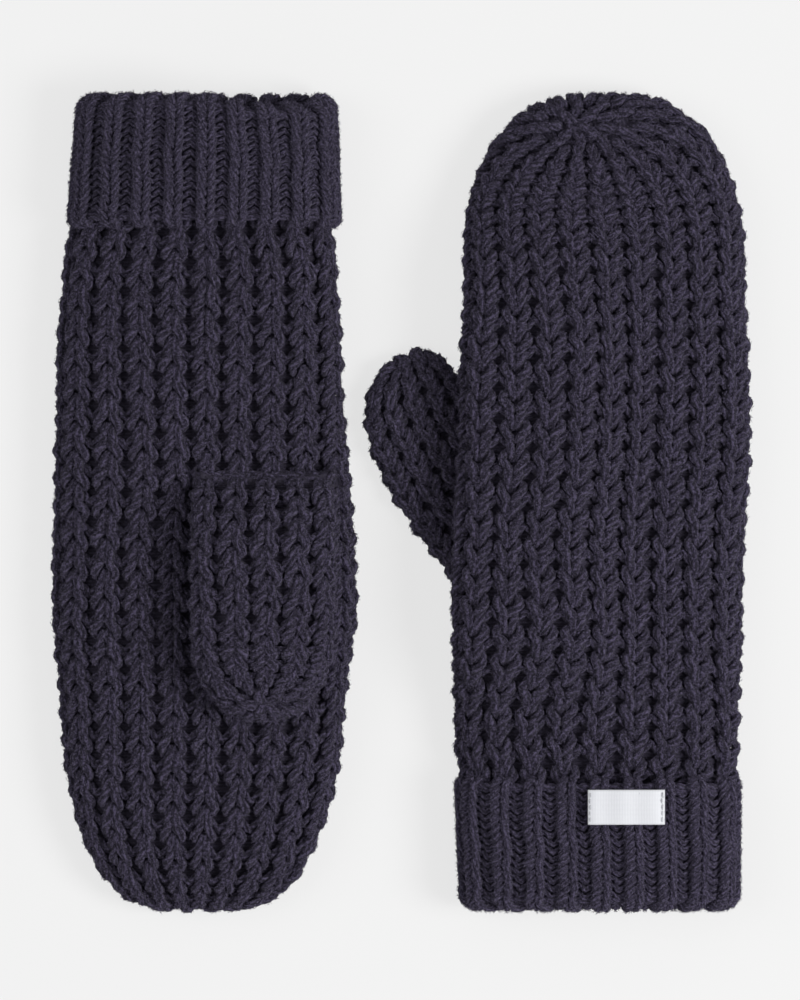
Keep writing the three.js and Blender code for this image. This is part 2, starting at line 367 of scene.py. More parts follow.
def thumb_skin(side):
    """The thumb from its join with the palm to its closed tip."""
    dome_start = THUMB_REACH[side] - THUMB_DOME

    def left_place(across, up, width, height, along):
        rise = np.clip((along - THUMB_START["left"]) / 26, 0, 1)
        swell = np.sqrt(1 - (1 - rise) ** 2)
        half_height = THUMB_HEIGHT / 2 * swell * height
        angle = np.arctan2(up, across)
        power = np.where(up >= 0, TOP_POWER, BASE_POWER)
        x = LEFT_THUMB_ROOT[0] + (THUMB_HALF_WIDTH - SKIN_DEPTH) * width * bend(np.cos(angle), power)
        s = LEFT_THUMB_ROOT[1] + along
        rest = SIDE_HEIGHT + CROWN - 3.0 + 4.4 * rise + 0.5 * (left_palm_top(x, s) - SIDE_HEIGHT - CROWN)
        middle = rest + (THUMB_HEIGHT / 2 - 1.4) * swell
        z = middle + (half_height - SKIN_DEPTH * height) * bend(np.sin(angle), power)
        return world("left", x, s, z)

    def right_place(across, up, width, height, along):
        at_root, beyond = RIGHT_THUMB_HALF_WIDTHS
        half = at_root + (beyond - at_root) * smooth(along, 0, 40)
        side_height = 0.42 * RIGHT_THUMB_HEIGHT
        offset, z, _ = ring_section(across, up, half, RIGHT_THUMB_HEIGHT - side_height, side_height,
                                    SKIN_DEPTH, width, height)
        narrowed = 1 - 0.52 * smooth(along, 15, 60)  # on the side next to the hand
        offset = np.where(offset > 0, offset * narrowed, offset)
        lean = RIGHT_THUMB_LEAN
        x = RIGHT_THUMB_ROOT[0] + offset * math.cos(lean) - along * math.sin(lean)
        s = RIGHT_THUMB_ROOT[1] + offset * math.sin(lean) + along * math.cos(lean)
        return world("right", x, s, z)

    shape = left_place if side == "left" else right_place

    def ring(climb, along):
        def place(turn):
            across, forward, up = tilted_pole(turn, climb, THUMB_TILT[side], 0.0)
            width, height, reach = dome_factors(forward, *THUMB_TIP[side])
            return shape(across, up, width, height, along + (THUMB_DOME - SKIN_DEPTH) * reach)

        return even_ring(place, RING_POINTS)

    straight = [ring(0.0, s) for s in np.arange(THUMB_START[side], dome_start, 1.5)]
    dome = [ring(climb, dome_start) for climb in np.linspace(0, math.pi / 2, 40)]
    return Skin(np.array(straight + dome), -1 if side == "right" else 1)


# ---------------------------------------------------------------- Stitches
#
# A stitch is the path of the yarn through one wale: fraction of the wale's width from its middle,
# height in rows, height over the skin in millimetres, and steps to the next point.


def mirrored(left_half):
    """A whole stitch from its left half, whose last point is its middle."""
    right = [(-u, v, h, 0) for u, v, h, _ in left_half[-2:0:-1]]
    steps = [step for *_, step in left_half[:-1]][::-1]
    return left_half[:-1] + [(*left_half[-1][:3], steps[0])] + [
        (u, v, h, step) for (u, v, h, _), step in zip(right, steps[1:])
    ]


WIDE_STITCH = mirrored([
    (-0.500, 0.38, -1.5, 2),
    (-0.385, 0.12, -1.9, 2),
    (-0.215, -0.24, -2.4, 2),
    (-0.085, -0.12, -1.1, 2),
    (-0.135, 0.22, 0.3, 2),
    (-0.275, 0.58, 0.7, 2),
    (-0.345, 0.90, -0.1, 2),
    (-0.230, 1.26, -1.9, 1),
    (0.000, 1.40, -2.7, 1),
])
NARROW_STITCH = mirrored([
    (-0.500, -0.10, -3.4, 1),
    (-0.385, -0.16, -3.4, 1),
    (-0.220, -0.30, -3.0, 1),
    (-0.075, -0.14, -1.4, 2),
    (-0.080, 0.22, -0.3, 2),
    (-0.145, 0.62, 0.0, 2),
    (-0.180, 0.98, -0.7, 2),
    (-0.120, 1.28, -2.1, 1),
    (0.000, 1.40, -2.7, 1),
])
RIB_STITCH = [
    (-0.500, 0.34, -2.5, 2),
    (-0.400, 0.02, -2.7, 1),
    (-0.270, -0.36, -2.9, 1),
    (-0.075, -0.20, -1.3, 1),
    (-0.100, 0.30, 0.0, 2),
    (-0.175, 1.00, 0.0, 1),
    (-0.180, 1.50, -1.2, 1),
    (-0.060, 1.80, -2.3, 1),
    (0.120, 1.75, -2.3, 1),
    (0.255, 1.35, -1.1, 1),
    (0.215, 0.80, 0.1, 2),
    (0.095, 0.20, 0.0, 2),
    (0.050, -0.20, -1.3, 1),
    (0.250, -0.36, -2.9, 1),
    (0.400, 0.02, -2.7, 1),
]


def random_field(seed, cells_round, cells_along):
    """Smooth random values over a tube, repeating once round it."""
    values = np.random.default_rng(seed).uniform(-1, 1, (cells_along + 2, cells_round))

    def value(turn, share):
        x, y = np.mod(turn, 1.0) * cells_round, np.clip(share, 0, 1) * cells_along
        c, r = x.astype(int) % cells_round, y.astype(int)
        fx, fy = smooth(x - np.floor(x), 0, 1), smooth(y - np.floor(y), 0, 1)
        after = (c + 1) % cells_round
        low = values[r, c] * (1 - fx) + values[r, after] * fx
        high = values[r + 1, c] * (1 - fx) + values[r + 1, after] * fx
        return low * (1 - fy) + high * fy

    return value


def course_path(stitches, wales, phase):
    """One row of stitches once round, as turn, rows and height, with the spline already followed."""
    control, steps = [], []
    for wale in range(wales):
        for u, v, h, step in stitches:
            control.append(((wale + 0.5 + phase + u) / wales, v, h))
            steps.append(step)
    control = np.array(control)
    before, after = np.roll(control, 1, axis=0), np.roll(control, -1, axis=0)
    beyond = np.roll(control, -2, axis=0)
    before[0, 0] -= 1
    after[-1, 0] += 1
    beyond[-2:, 0] += 1
    points = []
    for p0, p1, p2, p3, step in zip(before, control, after, beyond, steps):
        for k in range(step):
            t = k / step
            points.append(0.5 * (2 * p1 + (p2 - p0) * t + (2 * p0 - 5 * p1 + 4 * p2 - p3) * t**2
                                 + (3 * p1 - p0 - 3 * p2 + p3) * t**3))
    points.append(control[0] + [1, 0, 0])
    return np.array(points)


def drawn_together(turn, wales, shift, pull):
    """Moves the yarn towards the middle of its wale, which opens a furrow between the wales."""
    wale = turn * wales - shift
    offset = wale - np.floor(wale) - 0.5
    return turn - pull * offset * (1 - (2 * offset) ** 4) / wales


YARN_SIDES = 8
PLY_TURN = 0.36  # radians of twist for each millimetre of yarn
LUMPS = 0.08  # how far the yarn's surface wanders from a round section


def yarn_rings(centres, hints, radius):
    """Circles of points round each path. The circles turn as little as they can, plus the yarn's twist."""
    tangents = unit(np.gradient(centres, axis=1))
    lengths = np.linalg.norm(np.diff(centres, axis=1), axis=2)
    reach = np.concatenate([np.zeros((len(centres), 1)), np.cumsum(lengths, axis=1)], axis=1)
    across = np.empty_like(centres)
    carried = unit(np.cross(tangents[:, 0], hints[:, 0]))
    for i in range(centres.shape[1]):
        along = tangents[:, i]
        carried = unit(carried - along * (carried * along).sum(axis=1, keepdims=True))
        across[:, i] = carried
    up = np.cross(tangents, across)
    angle = np.arange(YARN_SIDES) * 2 * math.pi / YARN_SIDES + PLY_TURN * reach[..., None]
    lumps = np.random.default_rng(5).normal(0, LUMPS, angle.shape)
    size = radius[..., None] * (1 + np.clip(lumps, -2.2 * LUMPS, 2.2 * LUMPS))
    rings = (centres[:, :, None] + (size * np.cos(angle))[..., None] * across[:, :, None]
             + (size * np.sin(angle))[..., None] * up[:, :, None])
    return rings, reach


FUZZ = []  # stray fibres of the piece being knitted, gathered until the piece is whole
FIBRES_PER_MM = 4.2
FIBRE_RADIUS = 0.11
LOWEST_FIBRE = 0.1
SPINDLE = np.array([1, 2, 4, 2, 3, 4, 3, 1, 4, 2, 1, 0, 3, 2, 0, 1, 3, 0])  # corners of its six faces


def stray_fibres(centres, hints, radius, exposed, seed):
    """Short bent fibres that lie on and stand off the outer side of the yarn.

    Each is a closed spindle: its root, three points round its knee, and its tip.
    """
    rng = np.random.default_rng(seed)
    length = np.linalg.norm(np.diff(centres, axis=1), axis=2).sum()
    candidates = np.argwhere(exposed[:, :-1])
    count = int(length * FIBRES_PER_MM * len(candidates) / exposed.size)
    strand, at = candidates[rng.integers(0, len(candidates), count)].T
    middle = centres[strand, at]
    forward = unit(centres[strand, at + 1] - middle) * rng.choice([-1, 1], count)[:, None]
    hint = hints[strand, at]
    sideways = unit(np.cross(forward, hint))
    up = np.cross(sideways, forward)
    lean = rng.uniform(-1.2, 1.2, count)[:, None]
    outward = up * np.cos(lean) + sideways * np.sin(lean)
    beside = np.cross(outward, forward)
    heading, reach = rng.normal(0, 0.6, count)[:, None], rng.uniform(0.4, 1.0, count)[:, None]
    later = heading + rng.normal(0, 0.8, count)[:, None]
    lift = rng.uniform(0.04, 0.34, (count, 1)), rng.uniform(-0.20, 0.34, (count, 1))
    root = middle + outward * (radius[strand, at][:, None] * 0.93)
    knee = root + (forward * np.cos(heading) + beside * np.sin(heading)) * reach + outward * lift[0]
    tip = knee + (forward * np.cos(later) + beside * np.sin(later)) * reach + outward * lift[1]
    side = beside * np.cos(heading) - forward * np.sin(heading)
    around = [FIBRE_RADIUS * (side * math.cos(a) + outward * math.sin(a))
              for a in (math.pi / 2, math.pi * 7 / 6, math.pi * 11 / 6)]
    return np.stack([root, *(knee + offset for offset in around), tip], axis=1)


def fuzz_object(name, material):
    """One object made of all the stray fibres gathered so far."""
    points = np.concatenate(FUZZ)
    FUZZ.clear()
    points = points[points[..., 2].min(axis=1) > LOWEST_FIBRE]
    loops = (np.arange(len(points))[:, None] * 5 + SPINDLE).ravel()
    sizes = np.full(len(loops) // 3, 3)
    uvs = np.stack([loops * 0.013, loops % 5 / 5], axis=1)
    return mesh_object(name, points.reshape(-1, 3), loops, sizes, uvs, material)


def mesh_object(name, vertices, loops, sizes, uvs, material):
    mesh = bpy.data.meshes.new(name)
    mesh.vertices.add(len(vertices))
    mesh.vertices.foreach_set("co", (vertices * MM).astype(np.float32).ravel())
    mesh.loops.add(len(loops))
    mesh.loops.foreach_set("vertex_index", loops.astype(np.int32))
    mesh.polygons.add(len(sizes))
    starts = np.concatenate([[0], np.cumsum(sizes)[:-1]])
    mesh.polygons.foreach_set("loop_start", starts.astype(np.int32))
    mesh.polygons.foreach_set("use_smooth", np.ones(len(sizes), bool))
    layer = mesh.uv_layers.new(name="UVMap")
    layer.data.foreach_set("uv", uvs.astype(np.float32).ravel())
    mesh.update(calc_edges=True)
    mesh.validate()
    mesh.materials.append(material)
    thing = bpy.data.objects.new(name, mesh)
    bpy.context.scene.collection.objects.link(thing)
    return thing


def faces_between(here, there):
    """Four-sided faces between two sets of closed rings, as vertex numbers."""
    return np.stack([here, np.roll(here, -1, axis=-1), np.roll(there, -1, axis=-1), there], axis=-1)


def corner_uvs(first, second):
    """Texture coordinates of four-sided faces, from each coordinate at the four corners."""
    return np.stack([np.stack(pair, axis=-1) for pair in zip(first, second)], axis=-2)


FLATTENED_AT = 0.03  # yarn under the mitten is pressed flat this far above the surface
STRAND_OFFSET = 37.0  # each strand's wool pattern starts this much further on than the last one's


def yarn_object(name, centres, hints, radius, material):
    """One object holding several strands of yarn, each a closed tube with flat ends."""
    rings, reach = yarn_rings(centres, hints, radius)
    rings[..., 2] = np.maximum(rings[..., 2], FLATTENED_AT)
    strands, samples = centres.shape[:2]
    index = np.arange(strands * samples * YARN_SIDES).reshape(strands, samples, YARN_SIDES)
    here, there = index[:, :-1], index[:, 1:]
    quads = faces_between(here, there)
    corner = np.broadcast_to(np.arange(YARN_SIDES) / YARN_SIDES, here.shape)
    after = corner + 1 / YARN_SIDES
    reach = reach + STRAND_OFFSET * np.arange(strands)[:, None]
    near = np.broadcast_to(reach[:, :-1, None], here.shape) / 10
    far = np.broadcast_to(reach[:, 1:, None], here.shape) / 10
    uv = corner_uvs((near, near, far, far), (corner, after, after, corner))
    starts, ends = index[:, 0, ::-1], index[:, -1]
    caps = np.concatenate([starts, ends]).ravel()
    loops = np.concatenate([quads.ravel(), caps])
    sizes = np.concatenate([np.full(quads.size // 4, 4), np.full(2 * strands, YARN_SIDES)])
    uvs = np.concatenate([uv.reshape(-1, 2), np.zeros((len(caps), 2))])
    return mesh_object(name, rings.reshape(-1, 3), loops, sizes, uvs, material)


DRIFT_ALONG = 9.0  # millimetres along the tube for each wale of drift across
DRAWN = 1.1  # how far the yarn is drawn to the middle of its wale where wales are narrow
SUNK = 1.5  # and how much deeper the low yarn then lies, in millimetres
FIBRES_ABOVE = -1.7  # stray fibres stand on yarn higher than this


def rows_by_stitch(skin, rows, wales, row_height, start, kinds, narrowing):
    """The place of each row along the skin, grouped by kind of stitch and number of wales."""
    groups = {}
    for row in rows:
        along = start + row * row_height
        count = wales
        while narrowing and skin.girth_at(along) / count < NARROWEST_WALE and count > KEPT_WALES:
            count //= 2
        groups.setdefault((row % kinds, count), []).append(along)
    return groups


def knit(name, skin, rows, wales, row_height, start, stitches, radius, material, seed,
         phase=0.0, wander=0.13, rough=0.36, narrowing=False, restless=0.0):
    """Knits the given rows of a skin. The stitches of successive rows are taken in turn from the list.

    wander is how far whole regions drift, in wales, and restless adds to it near the first rows. rough is
    how far single stitches stray, in millimetres. A narrowing piece drops wales where its girth is small.
    """
    wander_across = random_field(seed, 6, 9)
    wander_along = random_field(seed + 1, 7, 8)
    jitters = [random_field(seed + 2 + k, 3 * wales, 90) for k in range(3)]
    thickness = random_field(seed + 5, 2 * wales, 120)
    groups = rows_by_stitch(skin, rows, wales, row_height, start, len(stitches), narrowing)
    objects = []
    usual = skin.girth_at(skin.length * 0.4) / wales
    for (kind, count), starts in groups.items():
        shift = phase * count / wales
        path = course_path(stitches[kind], count, shift)
        base = np.array(starts)[:, None]
        tight = np.clip(1 - skin.girth_at(base) / wales / usual, 0, 0.6)
        turn = drawn_together(path[:, 0], count, shift, DRAWN * tight)
        along = base + path[:, 1] * row_height
        share = along / skin.length
        squeeze = np.clip(skin.girth_at(base) / count / usual, 0.4, 1.0) ** 0.5
        unrest = wander * (1 + restless * (1 - smooth(along, 8, 45)))
        turn += unrest * wander_across(turn, share) / wales
        along = along + DRIFT_ALONG * unrest * wander_along(turn, share) * squeeze
        turn += rough * jitters[0](turn, share) / (usual * wales)
        along = along + rough * jitters[1](turn, share)
        height = (path[:, 2] + rough * jitters[2](turn, share)) * squeeze
        height = height - SUNK * tight * (path[:, 2] < -1)
        centres = skin.place(turn, along, height)
        hints = skin.normal(turn, along)
        sizes = radius * squeeze * (1 + 0.09 * thickness(turn, share))
        label = name if len(groups) == 1 else f"{name}_{len(objects) + 1}"
        objects.append(yarn_object(label, centres, hints, sizes, material))
        exposed = np.broadcast_to(path[:, 2] > FIBRES_ABOVE, sizes.shape)
        FUZZ.append(stray_fibres(centres, hints, sizes, exposed, seed + len(FUZZ)))
    return objects


LINING_THICKNESS = 0.9
LINING_LOWEST = (1.0, 1.6)  # of its outer and its inner face, over the surface that the mitten lies on


def lining(name, skin, depth, wales, columns=160, spacing=3.0):
    """The dense back of the knitting: a thin closed layer behind the stitches, ribbed like them."""
    count = max(int(skin.length / spacing), 2)
    along = np.linspace(0, skin.length, count)
    turn = np.arange(columns) / columns
    turns, alongs = np.meshgrid(turn, along)
    squeeze = np.clip(skin.girth_at(alongs) / skin.girth_at(skin.length * 0.4), 0.2, 1)
    rib = 0.35 * np.cos(2 * math.pi * wales * turns) * squeeze
    closing = np.clip(squeeze * 1.6, 0, 1)
    outer = skin.place(turns, alongs, -(depth + rib) * closing)
    inner = skin.place(turns, alongs, -(depth + LINING_THICKNESS + rib) * closing)
    for face, lowest in zip((outer, inner), LINING_LOWEST):
        face[..., 2] = np.maximum(face[..., 2], lowest)
    points = np.concatenate([outer, inner[::-1]])
    rows = 2 * count
    index = np.arange(rows * columns).reshape(rows, columns)
    quads = faces_between(index, np.roll(index, -1, axis=0))
    u = np.broadcast_to(turn * wales, (rows, columns))
    v = np.broadcast_to(np.concatenate([along, along[::-1]])[:, None] / 5, (rows, columns))
    after_u = u + wales / columns
    after_v = np.roll(v, -1, axis=0)
    uv = corner_uvs((u, after_u, after_u, u), (v, v, after_v, after_v))
    sizes = np.full(quads.size // 4, 4)
    return mesh_object(name, points.reshape(-1, 3), quads.ravel(), sizes, uv.reshape(-1, 2), LINING_WOOL)


# ---------------------------------------------------------------- Materials


def new_material(name):
    material = bpy.data.materials.new(name)
    material.use_nodes = True
    nodes = material.node_tree.nodes
    return material, nodes, material.node_tree.links, nodes["Principled BSDF"]


def set_inputs(shader, values):
    for name, value in values.items():
        shader.inputs[name].default_value = value


def ramp(nodes, links, source, stops):
    node = nodes.new("ShaderNodeValToRGB")
    elements = node.color_ramp.elements
    while len(elements) < len(stops):
        elements.new(0.5)
    for element, (place, colour) in zip(elements, stops):
        element.position = place
        element.color = (*colour, 1)
    links.new(source, node.inputs["Fac"])
    return node.outputs["Color"]


def calculate(nodes, links, operation, *values):
    """A maths node. Each value is a socket or a number."""
    node = nodes.new("ShaderNodeMath")
    node.operation = operation
    for socket, value in zip(node.inputs, values):
        if isinstance(value, (int, float)):
            socket.default_value = value
        else:
            links.new(value, socket)
    return node.outputs[0]


def noise(nodes, links, vector, scale, detail, roughness):
    node = nodes.new("ShaderNodeTexNoise")
    set_inputs(node, {"Scale": scale, "Detail": detail, "Roughness": roughness})
    links.new(vector, node.inputs["Vector"])
    return node.outputs["Fac"]


def relief(nodes, links, shader, height, strength, distance):
    """Lets a pattern of heights, up to a distance in millimetres, tilt the surface."""
    node = nodes.new("ShaderNodeBump")
    set_inputs(node, {"Strength": strength, "Distance": distance * MM})
    links.new(height, node.inputs["Height"])
    links.new(node.outputs["Normal"], shader.inputs["Normal"])


PLIES = 4
FIBRE_SCALE, HEATHER_SCALE = 4.4, 1100
FIBRE_STRETCH = 3.0  # how fast the fibre pattern changes along the yarn, for each centimetre
TONE_SHARES = {"fibres": 0.50, "heather": 0.42, "plies": 0.08}


def yarn_material(name, dark, middle, light, fibre_relief=1.3):
    """Plied wool: fibres run along the strand and turn round it; the colour is a soft heather."""
    material, nodes, links, shader = new_material(name)
    uv = nodes.new("ShaderNodeUVMap")
    uv.uv_map = "UVMap"
    parts = nodes.new("ShaderNodeSeparateXYZ")
    links.new(uv.outputs["UV"], parts.inputs["Vector"])
    place = nodes.new("ShaderNodeTexCoord")

    angle = calculate(nodes, links, "MULTIPLY", parts.outputs["Y"], 2 * math.pi)
    across = calculate(nodes, links, "COSINE", angle)
    up = calculate(nodes, links, "SINE", angle)
    length = calculate(nodes, links, "MULTIPLY", parts.outputs["X"], FIBRE_STRETCH)
    strand = nodes.new("ShaderNodeCombineXYZ")
    links.new(across, strand.inputs["X"])
    links.new(up, strand.inputs["Y"])
    links.new(length, strand.inputs["Z"])
    fibres = noise(nodes, links, strand.outputs["Vector"], FIBRE_SCALE, 4, 0.75)
    heather = noise(nodes, links, place.outputs["Object"], HEATHER_SCALE, 3, 0.75)

    plies = calculate(nodes, links, "COSINE", calculate(nodes, links, "MULTIPLY", angle, PLIES))
    plies = calculate(nodes, links, "MULTIPLY_ADD", plies, 0.5, 0.5)

    tone = calculate(nodes, links, "MULTIPLY", fibres, TONE_SHARES["fibres"])
    tone = calculate(nodes, links, "MULTIPLY_ADD", heather, TONE_SHARES["heather"], tone)
    tone = calculate(nodes, links, "MULTIPLY_ADD", plies, TONE_SHARES["plies"], tone)
    colour = ramp(nodes, links, tone, [(0.42, dark), (0.50, middle), (0.58, light)])
    links.new(colour, shader.inputs["Base Color"])

    height = calculate(nodes, links, "MULTIPLY_ADD", plies, 0.35, fibres)
    relief(nodes, links, shader, height, 1.0, fibre_relief)
    set_inputs(shader, {
        "Roughness": 0.95,
        "Specular IOR Level": 0.12,
        "Sheen Weight": 0.12,
        "Sheen Roughness": 0.5,
        "Sheen Tint": (0.72, 0.68, 0.85, 1),
    })
    return material


def label_material():
    """White satin tape: fine warp and weft threads with a soft shine."""
    material, nodes, links, shader = new_material("label_weave")
    place = nodes.new("ShaderNodeTexCoord")
    waves = []
    for direction, scale in (("X", 560), ("Y", 700)):
        wave = nodes.new("ShaderNodeTexWave")
        wave.bands_direction = direction
        set_inputs(wave, {"Scale": scale, "Distortion": 0.6})
        links.new(place.outputs["Object"], wave.inputs["Vector"])
        waves.append(wave.outputs["Fac"])
    weave = calculate(nodes, links, "MULTIPLY", *waves)
    colour = ramp(nodes, links, weave, [(0.0, (0.60, 0.61, 0.645)), (1.0, (0.76, 0.77, 0.80))])
    links.new(colour, shader.inputs["Base Color"])
    relief(nodes, links, shader, weave, 0.5, 0.1)
    set_inputs(shader, {"Roughness": 0.55, "Sheen Weight": 0.2})
    return material


# Each wool's darkest, middle and lightest fibres. The stray fibres' wool is lighter than the yarn's: partly
# its own fibre tone, partly a painted glint where the fibres catch the light.
FUZZ_WOOL_AND_GLINT = yarn_material(
    "wool_fuzz_and_glint", (0.018, 0.015, 0.028), (0.075, 0.064, 0.112), (0.270, 0.235, 0.370), fibre_relief=0.2)
HAND_WOOL = yarn_material(
    "hand_wool", (0.007, 0.0057, 0.0112), (0.0235, 0.0194, 0.0368), (0.126, 0.107, 0.189))
RIB_WOOL = yarn_material(
    "rib_wool", (0.012, 0.0098, 0.0188), (0.0390, 0.0327, 0.0605), (0.140, 0.119, 0.207))
LINING_WOOL = yarn_material(
    "lining_wool", (0.022, 0.018, 0.033), (0.040, 0.033, 0.060), (0.075, 0.064, 0.108))
LABEL_THREAD = yarn_material(
    "label_thread", (0.40, 0.41, 0.44), (0.54, 0.55, 0.58), (0.68, 0.69, 0.72), fibre_relief=0.1)
LABEL_CLOTH = label_material()


# ---------------------------------------------------------------- Pieces


def declare(things, body, replaced=()):
    """Puts pieces on a body. The first of them stands for the CAD nodes in replaced."""
    for number, thing in enumerate(things):
        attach(thing, body)
        if number == 0 and replaced:
            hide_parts(*replaced)


def strand(name, points, radius, material, body, slot, replaced=()):
    """A single piece of yarn along a list of points."""
    centres = np.array(points, float)[None]
    hints = np.broadcast_to([0.05, 0.1, 1.0], centres.shape)
    sizes = np.full(centres.shape[:2], radius)
    thing = yarn_object(name, centres, hints, sizes, material)
    declare([thing], body, replaced)


def gather(name, skin, body, replaced):
    """The end of the yarn, drawn round through the last stitches and pulled tight."""
    t = np.linspace(0, 1, 46)
    along = skin.length - 3.6 * (1 - t) - 0.3
    points = skin.place(2.3 * t, along, -0.6 + 0.9 * np.sin(t * 9) * (1 - t))
    strand(name, points, GATHER_YARN, HAND_WOOL, body, "sewing_yarn", (replaced,))


JOIN_YARN = 1.0
GATHER_YARN = 0.95
SEEDS = {"hand": (11, 23), "thumb": (31, 43), "cuff": (51, 63)}  # for the right and the left mitten


def seed_of(piece, side):
    return SEEDS[piece][SIDES.index(side)]


def knit_hand(side):
    skin = hand_skin(side)
    count = int((skin.length - HAND_START[side] - 2.0) / HAND_ROW)
    parts = ("wrist", "middle", "fingers")
    size = math.ceil(count / len(parts))
    made = []
    for number, part in enumerate(parts):
        rows = range(number * size, min((number + 1) * size, count))
        made += knit(f"{side}_hand_knit_{part}", skin, rows, HAND_WALES, HAND_ROW, HAND_START[side],
                     [WIDE_STITCH, NARROW_STITCH], HAND_YARN, HAND_WOOL, seed=seed_of("hand", side),
                     phase=HAND_PHASE[side], narrowing=True, restless=1.2)
        made.append(fuzz_object(f"{side}_hand_fuzz_{part}", FUZZ_WOOL_AND_GLINT))
    made.append(lining(f"{side}_hand_lining", skin, LINING_DEPTH["hand"], HAND_WALES))
    declare(made, f"{side}_mitten", (f"{side}_hand_palm", f"{side}_hand_back"))
    gather(f"{side}_crown_gather", skin, f"{side}_mitten", f"{side}_crown_yarn")


def knit_thumb(side):
    skin = thumb_skin(side)
    count = int((skin.length - 2.5) / HAND_ROW)
    made = knit(f"{side}_thumb_knit", skin, range(count), THUMB_WALES, HAND_ROW, 0.5,
                [WIDE_STITCH, NARROW_STITCH], HAND_YARN, HAND_WOOL, seed=seed_of("thumb", side),
                narrowing=True)
    made.append(fuzz_object(f"{side}_thumb_fuzz", FUZZ_WOOL_AND_GLINT))
    made.append(lining(f"{side}_thumb_lining", skin, LINING_DEPTH["thumb"], THUMB_WALES, columns=100,
                       spacing=2.5))
    body = f"{side}_thumb"
    gather(f"{side}_thumb_gather", skin, body, f"{side}_thumb_tip_yarn")
    if side == "right":
        declare(made, body, ("right_thumb_upper", "right_thumb_lower"))
        return
    for number, thing in enumerate(made):
        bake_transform(thing)
        if number == 0:
            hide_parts("left_thumb_upper", "left_thumb_lower")


def join_thumbs():
    """The yarn that picks up the thumb's stitches from the palm, in and out along the join."""
    t = np.linspace(0, 1, 90)
    ripple = np.sin(t * 26)
    across = LEFT_THUMB_ROOT[0] - 22.5 + 45 * t
    along = LEFT_THUMB_ROOT[1] + 0.4 + 0.5 * ripple
    points = world("left", across, along, left_palm_top(across, along) - 0.2 + 0.8 * ripple)
    strand("left_thumb_join", points, JOIN_YARN, HAND_WOOL, "left_mitten", "sewing_yarn",
           ("left_thumb_join_yarn",))
    across = RIGHT_THUMB_ROOT[0] - 11 + 23 * t
    along = 103 + 0.5 * ripple
    points = world("right", across, along, lift_over_thumb(across, along) - 2.6 + 0.6 * ripple)
    strand("right_thumb_join", points, JOIN_YARN, HAND_WOOL, "right_mitten", "sewing_yarn",
           ("right_thumb_join_yarn",))


def knit_cuff(side):
    skin = cuff_skin(side)
    count = int((skin.length - 2) / CUFF_ROW)
    half = count // 2
    made = []
    for part, rows in (("edge", range(half)), ("fold", range(half, count))):
        made += knit(f"{side}_cuff_knit_{part}", skin, rows, CUFF_WALES, CUFF_ROW, 0.6, [RIB_STITCH],
                     RIB_YARN, RIB_WOOL, seed=seed_of("cuff", side), phase=CUFF_PHASE,
                     wander=0.08, rough=0.2)
    made.append(fuzz_object(f"{side}_cuff_fuzz", FUZZ_WOOL_AND_GLINT))
    made.append(lining(f"{side}_cuff_lining", skin, LINING_DEPTH["cuff"], CUFF_WALES, columns=152))
    declare(made, f"{side}_turned_cuff",
            (f"{side}_cuff_palm", f"{side}_cuff_back", f"{side}_cuff_fold"))


def knit_inner_rib(side):
    made = []
    for face, inside in (("outside", False), ("inside", True)):
        skin = inner_rib_skin(side, inside)
        count = int((skin.length - 2) / CUFF_ROW)
        made += knit(f"{side}_inner_rib_{face}", skin, range(count), CUFF_WALES, CUFF_ROW, 0.4, [RIB_STITCH],
                     RIB_YARN * 0.9, RIB_WOOL, seed=71, wander=0.05, rough=0.14)
    FUZZ.clear()  # the inner rib is shown without stray fibres
    declare(made, f"{side}_mitten", (f"{side}_inner_rib_palm", f"{side}_inner_rib_back"))


def cuff_top(x):
    """Height of the right cuff's upper face at a place across it, for the middle of its depth."""
    share = np.clip(np.abs(x - mitten_place("right")[0]) / CUFF_HALF_WIDTH["right"], 0, 1)
    return CUFF_SIDE_HEIGHT + CUFF_CROWN * (1 - share**TOP_POWER) ** (1 / TOP_POWER)


LABEL_THICKNESS = 0.5
LABEL_LIFT = 0.75  # over the cuff's smooth upper face
TACK_INSET = 0.9
TACK_THREAD = 0.2  # radius


def tape_object(low, high):
    """The closed mesh of the label, between two corners of its box. It rides lightly over the ribs."""
    xs, ys = np.linspace(low[0], high[0], 56), np.linspace(low[1], high[1], 22)
    x, y = np.meshgrid(xs, ys, indexing="ij")
    ends = np.minimum(x - low[0], high[0] - x)
    wave = 0.16 * np.sin(x * 0.58 + 0.4) + 0.10 * np.sin(y * 0.5 + x * 0.21)
    under = cuff_top(x) + LABEL_LIFT + wave - 0.35 * (1 - smooth(ends, 0, 3.0))
    round_edge = np.minimum(np.minimum(ends, np.minimum(y - low[1], high[1] - y)) / 0.4, 1)
    over = under + LABEL_THICKNESS * (0.55 + 0.45 * np.sqrt(1 - (1 - round_edge) ** 2))
    lower, upper = np.stack([x, y, under], -1), np.stack([x, y, over], -1)
    points = np.concatenate([lower.reshape(-1, 3), upper.reshape(-1, 3)])
    rows, columns = x.shape
    index = np.arange(rows * columns).reshape(rows, columns)
    flat = np.stack([index[:-1, :-1], index[1:, :-1], index[1:, 1:], index[:-1, 1:]], -1).reshape(-1, 4)
    rim = np.concatenate([index[:, 0], index[-1, 1:], index[-2::-1, -1], index[0, -2:0:-1]])
    after = np.roll(rim, -1)
    top = rows * columns
    sides = np.stack([rim, after, after + top, rim + top], -1)
    quads = np.concatenate([flat[:, ::-1], flat + top, sides])
    uvs = points[quads.ravel()][:, :2] / 10
    return mesh_object("blank_label", points, quads.ravel(), np.full(len(quads), 4), uvs, LABEL_CLOTH)


def label():
    """A blank woven tape, tacked down at its two short ends."""
    low, high = box_mm("woven_label")
    tape = tape_object(low, high)
    declare([tape], "right_turned_cuff", ("woven_label",))
    for end, x_end in (("left", low[0] + TACK_INSET), ("right", high[0] - TACK_INSET)):
        tack_stitches(f"label_tack_{end}", x_end, low[1], high[1], f"label_stitch_{end}")


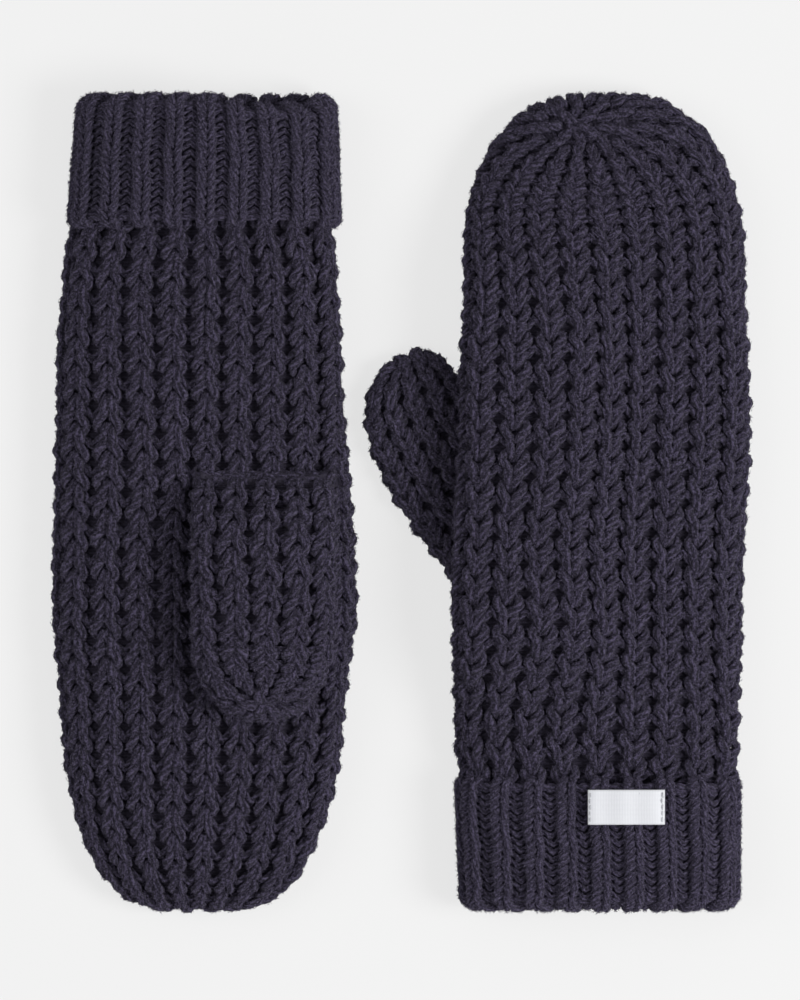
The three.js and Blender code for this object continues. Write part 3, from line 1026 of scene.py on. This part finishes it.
def tack_stitches(name, x, y_low, y_high, replaced):
    """Five short stitches of thread along one end of the label. Each rises out of it and goes back."""
    t = np.linspace(0, 1, 9)
    starts = np.linspace(y_low + 1.0, y_high - 2.7, 5)
    y = starts[:, None] + 1.7 * t
    xs = x + 0.12 * np.sin(7 * starts)[:, None] + 0 * y
    z = cuff_top(xs) + LABEL_LIFT + 0.05 + 0.62 * np.sin(math.pi * t) ** 0.5
    centres = np.stack([xs, y, z], -1)
    hints = np.broadcast_to([0.05, 0.0, 1.0], centres.shape)
    thing = yarn_object(name, centres, hints, np.full(y.shape, TACK_THREAD), LABEL_THREAD)
    declare([thing], "right_turned_cuff", (replaced,))


# ---------------------------------------------------------------- Floor, light and camera


def stage():
    """A pale floor that glows a little, so that shadows on it stay faint."""
    mesh = bpy.data.meshes.new("floor")
    far = 8.0
    corners = [(-far, -far, 0), (far, -far, 0), (far, far, 0), (-far, far, 0)]
    mesh.from_pydata(corners, [], [(0, 1, 2, 3)])
    floor = bpy.data.objects.new("floor", mesh)
    bpy.context.scene.collection.objects.link(floor)
    material, _, _, shader = new_material("pale_floor")
    set_inputs(shader, {
        "Base Color": (0.16, 0.16, 0.16, 1),
        "Emission Color": (1, 1, 1, 1),
        "Emission Strength": 0.71,
        "Roughness": 0.9,
        "Specular IOR Level": 0.1,
    })
    mesh.materials.append(material)


def area_light(name, place, aim, size, power):
    light = bpy.data.lights.new(name, "AREA")
    light.shape = "DISK"
    light.size = size
    light.energy = power
    thing = bpy.data.objects.new(name, light)
    thing.location = place
    thing.rotation_euler = (Vector(aim) - Vector(place)).to_track_quat("-Z", "Y").to_euler()
    bpy.context.scene.collection.objects.link(thing)


def lights():
    area_light("key_softbox", (1.25, -0.3, 1.3), (0, 0, 0), 0.85, 27)
    area_light("fill_softbox", (-1.6, 0.2, 1.8), (0, 0, 0), 1.6, 13)
    scene = bpy.context.scene
    scene.world = scene.world or bpy.data.worlds.new("studio")
    scene.world.use_nodes = True
    set_inputs(scene.world.node_tree.nodes["Background"], {"Color": (1, 1, 1, 1), "Strength": 0.44})
    scene.view_settings.view_transform = "Standard"


def camera():
    """Straight down on the pair, from high up, framed as the photograph is."""
    height = 4.0
    middle_of_pair = 0.015
    frame_height = 0.356
    data = bpy.data.cameras.new("camera")
    thing = bpy.data.objects.new("camera", data)
    data.sensor_fit = "VERTICAL"
    data.sensor_height = 24
    data.lens = data.sensor_height * (height - middle_of_pair) / frame_height
    data.clip_end = 10
    thing.location = (-0.0009, 0.0007, height)
    bpy.context.scene.collection.objects.link(thing)
    bpy.context.scene.camera = thing


camera()
lights()
stage()
for hand in SIDES:
    knit_hand(hand)
    knit_thumb(hand)
    knit_cuff(hand)
    knit_inner_rib(hand)
join_thumbs()
label()
